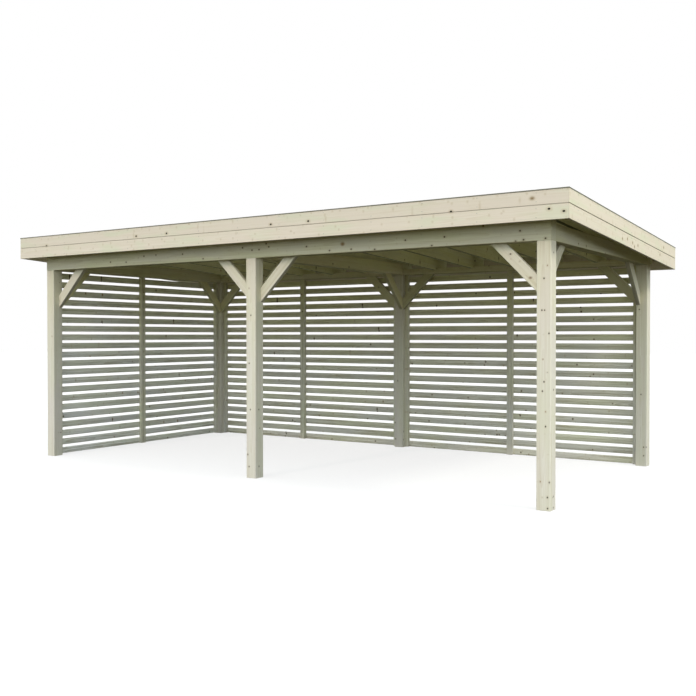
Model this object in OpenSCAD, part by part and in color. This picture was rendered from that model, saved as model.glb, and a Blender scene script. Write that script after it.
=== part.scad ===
// Timber carport with a flat roof that falls to the back.
// The front and the right end are open; slatted screens close the left end and the back.
// X runs along the front, Y runs to the back, Z is up.
// The origin is on the ground, at the middle of the plan.

/* [Footprint] */
// Length over the outer faces of the end posts
frame_l = 6100; // [4600:10:7600]
// Depth over the outer faces of the front and rear posts
frame_d = 3030; // [2400:10:4000]

/* [Posts] */
// Width of the square posts, and of the beams that lie on them
post_w = 120; // [105:1:150]
// Height of the posts, which is the clear height under the beams
post_h = 2155; // [1950:5:2600]
// Chamfer on the long edges of the posts
post_ease = 5; // [2:0.5:10]

/* [Beams] */
// Height of the front beam
front_beam_h = 195; // [170:1:240]
// Height of the rear beam, which the rafters are notched over
rear_beam_h = 70; // [60:1:110]
// Height of the rafters' lower edge over the posts, at the inner face of the rear beam
rear_rise = 45; // [30:1:58]
// Height of the level cross beams between the front and rear beams
cross_beam_h = 140; // [110:1:180]

/* [Braces] */
// Thickness of a brace, flush with the inner faces of the posts
brace_t = 45; // [32:1:50]
// Width of a brace across its grain
brace_w = 98; // [70:1:120]
// Reach of a brace along the beam, and down the post
brace_leg = 430; // [330:5:600]

/* [Rafters] */
// Thickness of a rafter
rafter_t = 45; // [35:1:70]
// Depth of a rafter, square to its slope
rafter_h = 145; // [120:1:220]
// Distance between rafter centres
rafter_pitch = 500; // [400:10:700]

/* [Roof] */
// Thickness of the roof boards
deck_t = 18; // [15:1:28]
// Thickness of the roof covering
cover_t = 4; // [2:0.5:8]
// Overhang of the fascia past the end posts
end_overhang = 212; // [150:1:350]
// Overhang of the fascia past the front and rear posts
eave_overhang = 198; // [120:1:350]

/* [Fascia] */
// Thickness of a fascia board
fascia_t = 20; // [16:1:28]
// Height of a fascia board
fascia_h = 117; // [105:1:140]
// Open joint between the upper and the lower fascia board
fascia_joint = 4; // [1:0.5:8]
// Rise of the joint from the face to the back of the front and rear boards, which keeps rain out
joint_rise = 10; // [6:0.5:16]
// Thickness of the edge trim on the fascia
trim_t = 2; // [1:0.5:4]
// Drop of the edge trim over the face of the fascia
trim_drop = 7; // [4:1:30]

/* [Screens] */
// Height of a slat
slat_h = 70; // [50:1:95]
// Thickness of a slat
slat_t = 19; // [15:1:26]
// Open gap between two slats
slat_gap = 33; // [15:1:60]
// Chamfer on the long edges of the slats
slat_ease = 2; // [1:0.5:4]
// Width of the stiles beside the posts, which carry the ends of the slats
stile_w = 45; // [35:1:70]
// Width of the stile in the middle of a screen
mid_stile_w = 70; // [45:1:95]
// Shift of the end screen's middle stile past the middle of its bay, towards the front
mid_stile_shift = 17; // [0:1:60]
// Clearance between the stiles and the braces
brace_clear = 11; // [5:1:20]
// Clearance between the screens and the ground
screen_clear = 5; // [2:1:40]

/* [Hidden] */

spruce = "#d6d2c0";
spruce_shade = "#b9b5a0";
roofing = "#55575a";
edge_metal = "#8a8a80";

// Outer and inner faces of the post rows
x_out = frame_l / 2;
y_out = frame_d / 2;
x_in = x_out - post_w;
y_in = y_out - post_w;
// Centres of the end beams and of the braces under them, and of the braces under the middle beam
beam_x = x_out - post_w / 2;
brace_x = x_in + brace_t / 2;
brace_y = y_in + brace_t / 2;
mid_brace_x = (post_w - brace_t) / 2;

// Fall of the roof for each unit of depth, from the front edge of one beam to that of the other
fall = (front_beam_h - rear_rise) / (frame_d - post_w);
// Height of a slice of the roof measured plumb, for a thickness square to its slope
function plumb(thickness) = thickness * sqrt(1 + fall * fall);
// Height of the rafters' lower edge at a place along the depth
function under(y) = post_h + front_beam_h - fall * (y + y_out);

// Levels above the rafters' lower edge
rafter_top = plumb(rafter_h);
deck_top = plumb(rafter_h + deck_t);
cover_top = plumb(rafter_h + deck_t + cover_t);
upper_low = cover_top - fascia_h;
lower_top = upper_low - fascia_joint;
lower_low = lower_top - fascia_h;

// Faces of the fascia
roof_x = x_out + end_overhang;
roof_y = y_out + eave_overhang;
roof_x_in = roof_x - fascia_t;
roof_y_in = roof_y - fascia_t;
// Height above all of the roof, for the prisms that cut the mitres
mitre_h = under(-roof_y) + cover_top + fascia_h;

// Rafters stand either side of the middle one, as many as the frame's length takes
rafters_each_side = floor((x_out - rafter_t / 2) / rafter_pitch);

// Screens: slats up to the beams, on stiles that stay clear of the braces
slat_pitch = slat_h + slat_gap;
slat_count = floor((post_h - screen_clear + slat_gap) / slat_pitch);
stile_h = post_h - screen_clear;
stile_d = post_w - brace_t - brace_clear - slat_t;
end_bay = frame_d - 2 * post_w;
rear_bay = (frame_l - 3 * post_w) / 2;

// Places a Y-Z outline and runs it along X from one place to another
module run_x(from, to) {
    translate([from, 0, 0])
        rotate([90, 0, 90])
            linear_extrude(to - from)
                children();
}

// Slice of the roof between two levels above the rafters' lower edge
module roof_slice(y_from, y_to, low, high) {
    polygon([
        [y_from, under(y_from) + low],
        [y_to, under(y_to) + low],
        [y_to, under(y_to) + high],
        [y_from, under(y_from) + high]
    ]);
}

// Rectangle from the origin with all four corners chamfered
module eased(width, height, ease) {
    polygon([
        [ease, 0], [width - ease, 0], [width, ease], [width, height - ease],
        [width - ease, height], [ease, height], [0, height - ease], [0, ease]
    ]);
}

// Square post; side is -1, 0 or 1 along the length, and row is -1 at the front, 1 at the rear
module post(side, row) {
    color(spruce)
        translate([side * (x_out - post_w / 2) - post_w / 2, row * (y_out - post_w / 2) - post_w / 2, 0])
            linear_extrude(post_h)
                eased(post_w, post_w, post_ease);
}

module front_beam() {
    color(spruce)
        run_x(-x_out, x_out)
            translate([-y_out, post_h])
                square([post_w, front_beam_h]);
}

module rear_beam() {
    color(spruce_shade)
        run_x(-x_out, x_out)
            translate([y_in, post_h])
                square([post_w, rear_beam_h]);
}

// Level bar between the front and rear beams, centred on a place along the length
module cross_bar(x) {
    translate([x - post_w / 2, -y_in, post_h])
        cube([post_w, 2 * y_in, cross_beam_h]);
}

module cross_beam(x) {
    color(spruce)
        cross_bar(x);
}

// Brace at 45 degrees from a post to the beam above, both ends cut to seat flat;
// turn points it along the beam, away from the post
module brace(x, y, turn) {
    seat = brace_w * sqrt(2);
    color(spruce)
        translate([x, y, post_h])
            rotate(turn)
                rotate([90, 0, 0])
                    linear_extrude(brace_t, center = true)
                        polygon([[0, -brace_leg], [brace_leg, 0], [brace_leg - seat, 0], [0, seat - brace_leg]]);
}

// Rafter outline with a level seat notched over each beam and plumb ends
module rafter_outline() {
    polygon([
        [-roof_y_in, under(-roof_y_in)],
        [-y_out, under(-y_out)], [-y_in, under(-y_out)], [-y_in, under(-y_in)],
        [y_in, under(y_in)], [y_in, post_h + rear_beam_h], [y_out, post_h + rear_beam_h], [y_out, under(y_out)],
        [roof_y_in, under(roof_y_in)],
        [roof_y_in, under(roof_y_in) + rafter_top],
        [-roof_y_in, under(-roof_y_in) + rafter_top]
    ]);
}

// Rafters, those above a cross beam cut to lie on it
module rafters() {
    color(spruce_shade)
        difference() {
            for (i = [-rafters_each_side : rafters_each_side])
                run_x(i * rafter_pitch - rafter_t / 2, i * rafter_pitch + rafter_t / 2)
                    rafter_outline();
            for (x = [-beam_x, 0, beam_x])
                cross_bar(x);
        }
}

// Rafter under the verge that backs the end fascia
module verge_rafter(from, to) {
    color(spruce_shade)
        run_x(from, to)
            roof_slice(-roof_y_in, roof_y_in, 0, rafter_top);
}

module roof_boards() {
    color(spruce_shade)
        run_x(-roof_x_in, roof_x_in)
            roof_slice(-roof_y_in, roof_y_in, rafter_top, deck_top);
}

module roof_covering() {
    color(roofing)
        run_x(-roof_x_in, roof_x_in)
            roof_slice(-roof_y_in, roof_y_in, deck_top, cover_top);
}

// Mitred plan of a strip along the front or rear edge, between two reaches past the roof boards;
// row is -1 at the front, 1 at the rear
module eave_plan(row, from, to) {
    polygon([
        [-roof_x_in - from, row * (roof_y_in + from)], [roof_x_in + from, row * (roof_y_in + from)],
        [roof_x_in + to, row * (roof_y_in + to)], [-roof_x_in - to, row * (roof_y_in + to)]
    ]);
}

// Mitred plan of a strip along an end edge; side is -1 at the left, 1 at the right
module end_plan(side, from, to) {
    polygon([
        [side * (roof_x_in + from), -roof_y_in - from], [side * (roof_x_in + from), roof_y_in + from],
        [side * (roof_x_in + to), roof_y_in + to], [side * (roof_x_in + to), -roof_y_in - to]
    ]);
}

// Strip along an end edge that follows the fall, between two levels above the rafters' lower edge
module end_strip(side, from, to, low, high) {
    intersection() {
        run_x(-roof_x - fascia_t, roof_x + fascia_t)
            roof_slice(-roof_y - fascia_t, roof_y + fascia_t, low, high);
        linear_extrude(mitre_h)
            end_plan(side, from, to);
    }
}

// Level strip along the front or rear edge, between two levels above the rafters' lower edge
module eave_strip(row, from, to, low, high) {
    translate([0, 0, under(row * roof_y_in) + low])
        linear_extrude(high - low)
            eave_plan(row, from, to);
}

// Fascia board along the front or rear, mitred at both ends, whose edges rise towards its back
module eave_fascia(row, low, low_rise, high, high_rise) {
    base = under(row * roof_y_in);
    color(spruce)
        intersection() {
            run_x(-roof_x, roof_x)
                polygon([
                    [row * roof_y, base + low], [row * roof_y_in, base + low + low_rise],
                    [row * roof_y_in, base + high + high_rise], [row * roof_y, base + high]
                ]);
            linear_extrude(mitre_h)
                eave_plan(row, 0, fascia_t);
        }
}

// Fascia board along an end, which follows the fall
module end_fascia(side, low, high) {
    color(spruce)
        end_strip(side, 0, fascia_t, low, high);
}

// Angle over the top edge of the front or rear fascia
module eave_trim(row) {
    color(edge_metal)
        union() {
            eave_strip(row, 0, fascia_t + trim_t, cover_top, cover_top + trim_t);
            eave_strip(row, fascia_t, fascia_t + trim_t, cover_top - trim_drop, cover_top + trim_t);
        }
}

// Angle over the top edge of an end fascia
module end_trim(side) {
    color(edge_metal)
        union() {
            end_strip(side, 0, fascia_t + trim_t, cover_top, cover_top + trim_t);
            end_strip(side, fascia_t, fascia_t + trim_t, cover_top - trim_drop, cover_top + trim_t);
        }
}

// Slats of one screen, from its corner: X along the bay, Y inward from the outer face
module slats(bay) {
    color(spruce)
        for (i = [0 : slat_count - 1])
            translate([0, 0, screen_clear + i * slat_pitch])
                run_x(0, bay)
                    eased(slat_t, slat_h, slat_ease);
}

// Stiles behind those slats, up to the beam: one against each post, and one that starts a shift past the middle
module stiles(bay, shift) {
    color(spruce_shade)
        for (stile = [[0, stile_w], [bay / 2 + shift, mid_stile_w], [bay - stile_w, stile_w]])
            translate([stile[0], slat_t, screen_clear])
                cube([stile[1], stile_d, stile_h]);
}

// Corners where the screens start
module at_left_screen() {
    translate([-x_out, y_in, 0])
        rotate(-90)
            children();
}

module at_rear_left_screen() {
    translate([-post_w / 2, y_out, 0])
        rotate(180)
            children();
}

module at_rear_right_screen() {
    translate([x_in, y_out, 0])
        rotate(180)
            children();
}

post(-1, -1);  // post_front_left
post(0, -1);  // post_front_middle
post(1, -1);  // post_front_right
post(-1, 1);  // post_rear_left
post(0, 1);  // post_rear_middle
post(1, 1);  // post_rear_right

front_beam();
rear_beam();
cross_beam(-beam_x);  // left_beam
cross_beam(0);  // middle_beam
cross_beam(beam_x);  // right_beam

brace(-x_in, -brace_y, 0);  // brace_front_left
brace(-post_w / 2, -brace_y, 180);  // brace_front_middle_left
brace(post_w / 2, -brace_y, 0);  // brace_front_middle_right
brace(x_in, -brace_y, 180);  // brace_front_right
brace(-x_in, brace_y, 0);  // brace_rear_left
brace(-post_w / 2, brace_y, 180);  // brace_rear_middle_left
brace(post_w / 2, brace_y, 0);  // brace_rear_middle_right
brace(x_in, brace_y, 180);  // brace_rear_right
brace(-brace_x, -y_in, 90);  // brace_left_front
brace(-brace_x, y_in, -90);  // brace_left_rear
brace(mid_brace_x, -y_in, 90);  // brace_middle_front
brace(mid_brace_x, y_in, -90);  // brace_middle_rear
brace(brace_x, -y_in, 90);  // brace_right_front
brace(brace_x, y_in, -90);  // brace_right_rear

rafters();
verge_rafter(-roof_x_in, -roof_x_in + rafter_t);  // left_verge_rafter
verge_rafter(roof_x_in - rafter_t, roof_x_in);  // right_verge_rafter
roof_boards();
roof_covering();

eave_fascia(-1, upper_low, joint_rise, cover_top, 0);  // front_fascia_upper
eave_fascia(-1, lower_low, 0, lower_top, joint_rise);  // front_fascia_lower
eave_fascia(1, upper_low, joint_rise, cover_top, 0);  // rear_fascia_upper
eave_fascia(1, lower_low, 0, lower_top, joint_rise);  // rear_fascia_lower
end_fascia(-1, upper_low, cover_top);  // left_fascia_upper
end_fascia(-1, lower_low, lower_top);  // left_fascia_lower
end_fascia(1, upper_low, cover_top);  // right_fascia_upper
end_fascia(1, lower_low, lower_top);  // right_fascia_lower

eave_trim(-1);  // front_edge_trim
eave_trim(1);  // rear_edge_trim
end_trim(-1);  // left_edge_trim
end_trim(1);  // right_edge_trim

at_left_screen() slats(end_bay);  // left_screen_slats
at_left_screen() stiles(end_bay, mid_stile_shift);  // left_screen_stiles
at_rear_left_screen() slats(rear_bay);  // rear_left_screen_slats
at_rear_left_screen() stiles(rear_bay, 0);  // rear_left_screen_stiles
at_rear_right_screen() slats(rear_bay);  // rear_right_screen_slats
at_rear_right_screen() stiles(rear_bay, 0);  // rear_right_screen_stiles
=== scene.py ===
import math
import random

import bmesh
import bpy
import numpy
from mathutils import Euler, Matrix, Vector


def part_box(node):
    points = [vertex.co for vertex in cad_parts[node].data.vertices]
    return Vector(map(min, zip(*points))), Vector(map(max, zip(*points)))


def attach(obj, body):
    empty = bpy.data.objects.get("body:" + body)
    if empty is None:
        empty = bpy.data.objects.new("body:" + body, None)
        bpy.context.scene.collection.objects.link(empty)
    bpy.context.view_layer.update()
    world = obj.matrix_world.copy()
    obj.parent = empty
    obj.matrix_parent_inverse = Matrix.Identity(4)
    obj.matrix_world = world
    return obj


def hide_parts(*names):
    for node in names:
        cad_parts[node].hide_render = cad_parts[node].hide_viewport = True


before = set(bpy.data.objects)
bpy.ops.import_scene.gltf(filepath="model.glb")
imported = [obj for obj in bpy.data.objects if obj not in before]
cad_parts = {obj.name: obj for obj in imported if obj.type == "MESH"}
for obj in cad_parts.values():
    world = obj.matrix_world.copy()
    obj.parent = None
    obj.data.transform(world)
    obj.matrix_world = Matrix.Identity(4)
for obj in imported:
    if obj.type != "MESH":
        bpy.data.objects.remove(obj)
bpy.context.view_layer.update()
mm = 0.001
print("frame loaded,", len(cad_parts), "nodes")


def toLinear(hexColour):  # sRGB hex to linear RGBA
    channels = [int(hexColour[at:at + 2], 16) / 255 for at in (1, 3, 5)]
    return (*[c / 12.92 if c <= 0.04045 else ((c + 0.055) / 1.055) ** 2.4 for c in channels], 1.0)


def addNode(tree, kind, links=(), out=0, **settings):  # one node, its settings, its links; gives one output
    node = tree.nodes.new(kind)
    for name, value in settings.items():
        setattr(node, name, value)
    for socket, source in dict(links).items():
        if isinstance(source, bpy.types.NodeSocket):
            tree.links.new(source, node.inputs[socket])
        else:
            node.inputs[socket].default_value = source
    return node.outputs[out] if node.outputs else node


def newMaterial(name):  # an empty material and its tree
    material = bpy.data.materials.new(name)
    material.use_nodes = True
    material.node_tree.nodes.clear()
    return material, material.node_tree


def addPiece(name, mesh):  # a mesh object at the origin
    piece = bpy.data.objects.new(name, mesh)
    bpy.context.scene.collection.objects.link(piece)
    return piece


def seat(piece, slotName, *nodes):  # rides on the one body and stands for its CAD nodes
    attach(piece, "root")
    if nodes:
        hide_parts(*nodes)


# Planed pressure-treated spruce: pale, dry and matt, with soft arches of latewood, fine fibre,
# greenish and greyish lengths from the treatment, black pin knots and a few brown ones
treatedLook = {  # each wood adds its own earlywood, latewood and lengths
    "pinKnot": "#2F2820",
    "brownKnot": "#9A7E5E",
    "knotHalo": "#BCAB8A",
    "cutEnd": "#C4C0AC",
    "arrisWearAndShade": "#E8E5DA",
}
spruceFigure = {
    "ringWidth": 7 * mm,  # real rings are about 3 mm, drawn coarser so that they show
    "ringShare": 0.42,
    "ringEdge": 2.2,  # how suddenly the latewood ends
    "pithWander": 56 * mm,
    "wanderRun": 900 * mm,
    "wanderWidth": 3600 * mm,
    "wanderDetail": 1.0,
    "fibreWidth": 3.5 * mm,  # real fibres are far finer, drawn coarser so that they show
    "fibreRun": 260 * mm,
    "fibreDetail": 3.0,
    "fibreShare": 0.4,
    "streakWidth": 15 * mm,
    "streakRun": 1500 * mm,
    "streakDetail": 2.0,
    "streakShare": 0.6,
    "lateBase": -0.3,  # latewood left where rings, fibre and streaks are all faint
    "lengthRun": 650 * mm,  # how far a green or grey length runs
    "lengthWidth": 110 * mm,
    "lengthDetail": 1.5,
    "lengthShare": 0.7,
    "knotRun": 250 * mm,  # spacing of branches along the log
    "knotTurn": 0.95,  # and round it, in radians
    "knotStray": 0.9,
    "knotLeast": -2 * mm,  # below 0 it doesn't show
    "knotMost": 8.5 * mm,
    "knotShare": 0.3,
    "brownShare": 0.3,
    "knotEdge": 1.0 * mm,
    "pinRadius": 7 * mm,  # the knots that the photo shows
    "pinEdge": 1.5 * mm,
    "brownRadius": 12 * mm,
    "brownEdge": 8 * mm,
    "knotDraw": (1, 1, 1),  # below 1 draws those out along an axis
    "haloReach": 14 * mm,
    "haloShare": 0.45,
    "ringSwell": 1.2,
    "endShare": 0.6,
    "reliefDepth": 0.5 * mm,
    "relief": 0.35,
    "ringRelief": 0.5,
    "roughFibre": 0.58,
    "roughWood": 0.82,
    "ior": 1.5,
    "sheen": 0.08,  # dry wood hardly shines
    "noiseLow": 0.35,  # a noise mostly stays between these
    "noiseHigh": 0.67,
    "shadeTintLow": 1.1,  # inner faces nearer the roof than this get painted shade: a yellower tint for the light bounced there
    "shadeTintHigh": 2.0,
    "shadeTintFacing": (0.6, -1.15, 0),  # of the left end, and more of the back
    "paintedShadeTint": (1.0, 0.98, 0.9),
    "paintedUnderShade": 0.5,  # painted shade: undersides painted darker
}


def planedSpruce(name, look, figure, pins=(), browns=()):
    material, tree = newMaterial(name)
    # the grain runs along, across and deep from the pith; the tone is a brightness and two draws, and on some
    # pieces that brightness is set as painted light or shade
    grain = addNode(tree, "ShaderNodeAttribute", out="Vector", attribute_name="grain")
    tone = addNode(tree, "ShaderNodeAttribute", out="Vector", attribute_name="tone")
    toneAndLight = addNode(tree, "ShaderNodeSeparateXYZ", {0: tone})
    place = addNode(tree, "ShaderNodeTexCoord", out="Object")
    where = addNode(tree, "ShaderNodeVectorMath", {0: place, 1: figure["knotDraw"]}, operation="MULTIPLY")
    low, high = figure["noiseLow"], figure["noiseHigh"]
    colours = {part: toLinear(colour) for part, colour in look.items()}

    def drawnOut(part, out=0):  # noise drawn out along the grain
        run, width = figure[part + "Run"], figure[part + "Width"]
        shares = (1 / run, 1 / width, 1 / width)
        scaled = addNode(tree, "ShaderNodeVectorMath", {0: grain, 1: shares}, operation="MULTIPLY")
        return addNode(tree, "ShaderNodeTexNoise", {
            "Vector": scaled, "Scale": 1.0, "Detail": figure[part + "Detail"]}, out)

    # the pith wanders along the log, which bends the rings into arches
    drift = drawnOut("wander", "Color")
    centred = addNode(tree, "ShaderNodeVectorMath", {0: drift, 1: (0.5, 0.5, 0.5)}, operation="SUBTRACT")
    reach = figure["pithWander"]
    bend = addNode(tree, "ShaderNodeVectorMath", {0: centred, 1: (0, reach, reach)}, operation="MULTIPLY")
    bent = addNode(tree, "ShaderNodeVectorMath", {0: grain, 1: bend}, operation="ADD")
    flat = addNode(tree, "ShaderNodeVectorMath", {0: bent, 1: (0, 1, 1)}, operation="MULTIPLY")
    radius = addNode(tree, "ShaderNodeVectorMath", {0: flat}, "Value", operation="LENGTH")
    along, across, deep = addNode(tree, "ShaderNodeSeparateXYZ", {0: bent}).node.outputs

    # branches start at the pith, so knots are cells of the turn round it and the way along
    turn = addNode(tree, "ShaderNodeMath", {0: deep, 1: across}, operation="ARCTAN2")
    cellAlong = addNode(tree, "ShaderNodeMath", {0: along, 1: figure["knotRun"]}, operation="DIVIDE")
    cellTurn = addNode(tree, "ShaderNodeMath", {0: turn, 1: figure["knotTurn"]}, operation="DIVIDE")
    cellPlace = addNode(tree, "ShaderNodeCombineXYZ", {0: cellAlong, 1: cellTurn})
    cells = addNode(tree, "ShaderNodeTexVoronoi", {
        "Vector": cellPlace, "Scale": 1.0, "Randomness": figure["knotStray"]},
        voronoi_dimensions="2D").node.outputs
    fromKnot = addNode(tree, "ShaderNodeVectorMath", {
        0: cellPlace, 1: cells["Position"]}, operation="SUBTRACT")
    arc = addNode(tree, "ShaderNodeMath", {0: radius, 1: figure["knotTurn"]}, operation="MULTIPLY")
    cellSize = addNode(tree, "ShaderNodeCombineXYZ", {0: figure["knotRun"], 1: arc})
    offset = addNode(tree, "ShaderNodeVectorMath", {0: fromKnot, 1: cellSize}, operation="MULTIPLY")
    away = addNode(tree, "ShaderNodeVectorMath", {0: offset}, "Value", operation="LENGTH")
    draws = addNode(tree, "ShaderNodeSeparateColor", {0: cells["Color"]}).node.outputs
    knotSize = addNode(tree, "ShaderNodeMapRange", {
        "Value": draws[0], "From Min": 1 - figure["knotShare"], "From Max": 1.0,
        "To Min": figure["knotLeast"], "To Max": figure["knotMost"]})
    beyond = addNode(tree, "ShaderNodeMath", {0: away, 1: knotSize}, operation="SUBTRACT")
    isBrown = addNode(tree, "ShaderNodeMath", {
        0: draws[1], 1: 1 - figure["brownShare"]}, operation="GREATER_THAN")
    knotColour = addNode(tree, "ShaderNodeMix", {
        0: isBrown, 6: colours["pinKnot"], 7: colours["brownKnot"]}, 2, data_type="RGBA")
    knots = [(beyond, knotColour, figure["knotEdge"])]  # how far outside a knot, its colour and its edge
    for spots, kind in ((pins, "pin"), (browns, "brown")):
        nearest = None
        for spot in spots:  # knots that the photo shows, on the piece's own coordinates
            drawn = [value * share for value, share in zip(spot, figure["knotDraw"])]
            gap = addNode(tree, "ShaderNodeVectorMath", {0: where, 1: drawn}, "Value", operation="DISTANCE")
            nearest = gap if nearest is None else addNode(
                tree, "ShaderNodeMath", {0: nearest, 1: gap}, operation="MINIMUM")
        if nearest is not None:
            outside = addNode(tree, "ShaderNodeMath", {
                0: nearest, 1: figure[kind + "Radius"]}, operation="SUBTRACT")
            beyond = addNode(tree, "ShaderNodeMath", {0: beyond, 1: outside}, operation="MINIMUM")
            knots.append((outside, colours[kind + "Knot"], figure[kind + "Edge"]))
    halo = addNode(tree, "ShaderNodeMapRange", {
        "Value": beyond, "From Min": figure["haloReach"], "From Max": 0.0}, interpolation_type="SMOOTHSTEP")

    # latewood darkens slowly to each ring's edge, and the rings swell round a knot
    rings = addNode(tree, "ShaderNodeMath", {0: radius, 1: figure["ringWidth"]}, operation="DIVIDE")
    swollen = addNode(tree, "ShaderNodeMath", {
        0: halo, 1: figure["ringSwell"], 2: rings}, operation="MULTIPLY_ADD")
    step = addNode(tree, "ShaderNodeMath", {0: swollen}, operation="FRACT")
    latewood = addNode(tree, "ShaderNodeMath", {0: step, 1: figure["ringEdge"]}, operation="POWER")
    fibre = drawnOut("fibre")
    streak = drawnOut("streak")
    spread = drawnOut("length")

    # how much latewood shows: the rings, the broad streaks and the fibre together
    shown = addNode(tree, "ShaderNodeMath", {
        0: latewood, 1: figure["ringShare"], 2: figure["lateBase"]}, operation="MULTIPLY_ADD")
    for pattern, share in ((streak, "streakShare"), (fibre, "fibreShare")):
        part = addNode(tree, "ShaderNodeMapRange", {
            "Value": pattern, "From Min": low, "From Max": high, "To Max": figure[share]})
        shown = addNode(tree, "ShaderNodeMath", {0: shown, 1: part}, operation="ADD")
    late = addNode(tree, "ShaderNodeClamp", {"Value": shown})
    wood = addNode(tree, "ShaderNodeMix", {
        0: late, 6: colours["earlywood"], 7: colours["latewood"]}, 2, data_type="RGBA")

    # greenish and greyish lengths, and each board a little lighter or darker: at random, or by a set
    # brightness that paints light or shade
    middle = (low + high) / 2
    for part, end in (("greenLength", high), ("greyLength", low)):
        share = addNode(tree, "ShaderNodeMapRange", {
            "Value": spread, "From Min": middle, "From Max": end, "To Max": figure["lengthShare"]})
        wood = addNode(tree, "ShaderNodeMix", {0: share, 6: wood, 7: colours[part]}, 2, data_type="RGBA")
    wood = addNode(tree, "ShaderNodeVectorMath", {0: wood, 3: toneAndLight}, operation="SCALE")

    # painted shade: inner faces near the roof painted yellower, for the light bounced there, and undersides
    # painted darker
    height = addNode(tree, "ShaderNodeSeparateXYZ", {0: place}, 2)
    under = addNode(tree, "ShaderNodeMapRange", {
        "Value": height, "From Min": figure["shadeTintLow"], "From Max": figure["shadeTintHigh"]})
    facing = addNode(tree, "ShaderNodeNewGeometry", out="Normal")
    inward = addNode(tree, "ShaderNodeVectorMath", {
        0: facing, 1: figure["shadeTintFacing"]}, "Value", operation="DOT_PRODUCT")
    shadeTintShare = addNode(tree, "ShaderNodeMath", {0: under, 1: inward}, operation="MULTIPLY", use_clamp=True)
    shadeTinted = addNode(tree, "ShaderNodeVectorMath", {
        0: wood, 1: figure["paintedShadeTint"]}, operation="MULTIPLY")
    wood = addNode(tree, "ShaderNodeMix", {0: shadeTintShare, 6: wood, 7: shadeTinted}, 2, data_type="RGBA")
    # painted shade: the more a face looks down, the darker it is painted
    upward = addNode(tree, "ShaderNodeSeparateXYZ", {0: facing}, 2)
    underShade = addNode(tree, "ShaderNodeMapRange", {
        "Value": upward, "From Min": -1.0, "From Max": 0.0,
        "To Min": 1 - figure["paintedUnderShade"], "To Max": 1.0})
    wood = addNode(tree, "ShaderNodeVectorMath", {0: wood, 3: underShade}, operation="SCALE")

    # knots over the wood, then the cut ends, then the arrises: paler with wear on most woods, painted dark on
    # the fascia as painted shade in its joints
    haloShare = addNode(tree, "ShaderNodeMath", {0: halo, 1: figure["haloShare"]}, operation="MULTIPLY")
    layers = [(haloShare, colours["knotHalo"])]
    for outside, colour, edge in knots:
        knot = addNode(tree, "ShaderNodeMapRange", {"Value": outside, "From Min": edge, "From Max": -edge})
        layers.append((knot, colour))
    for mark, share, colour in (("cutEnd", figure["endShare"], "cutEnd"), ("arris", fibre, "arrisWearAndShade")):
        marked = addNode(tree, "ShaderNodeAttribute", out="Fac", attribute_name=mark)
        worn = addNode(tree, "ShaderNodeMath", {0: marked, 1: share}, operation="MULTIPLY")
        layers.append((worn, colours[colour]))
    for share, colour in layers:
        wood = addNode(tree, "ShaderNodeMix", {0: share, 6: wood, 7: colour}, 2, data_type="RGBA")

    # planing leaves the latewood a little proud, and knots smoother than the wood
    relief = addNode(tree, "ShaderNodeMath", {
        0: latewood, 1: figure["ringRelief"], 2: fibre}, operation="MULTIPLY_ADD")
    bump = addNode(tree, "ShaderNodeBump", {
        "Strength": figure["relief"], "Distance": figure["reliefDepth"], "Height": relief})
    roughness = addNode(tree, "ShaderNodeMapRange", {
        "Value": fibre, "To Min": figure["roughWood"], "To Max": figure["roughFibre"]})
    shader = addNode(tree, "ShaderNodeBsdfPrincipled", {
        "Base Color": wood, "Roughness": roughness, "Normal": bump, "IOR": figure["ior"],
        "Specular IOR Level": figure["sheen"]})
    addNode(tree, "ShaderNodeOutputMaterial", {0: shader})
    return material


# Mineral-faced roofing felt: dull dark grey, gritty with pale and dark slate grains
feltLook = {
    "bitumen": "#3A3C3D",
    "paleGrain": "#6E7172",
    "darkGrain": "#242627",
    "bleed": "#17181A",  # bitumen that ran out at a lap
    "bleedReach": 18 * mm,
    "grain": 4 * mm,  # real grains are about 1 mm, drawn coarser so that they show
    "paleFrom": 0.45,
    "cloud": 700 * mm,
    "cloudDetail": 4.0,
    "cloudLow": 0.35,
    "cloudHigh": 0.75,
    "cloudShare": 0.6,
    "relief": 0.5,
    "reliefShare": 0.3,  # of a grain's width
    "roughDark": 0.96,
    "roughPale": 0.8,
    "sheen": 0.3,
}


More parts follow.
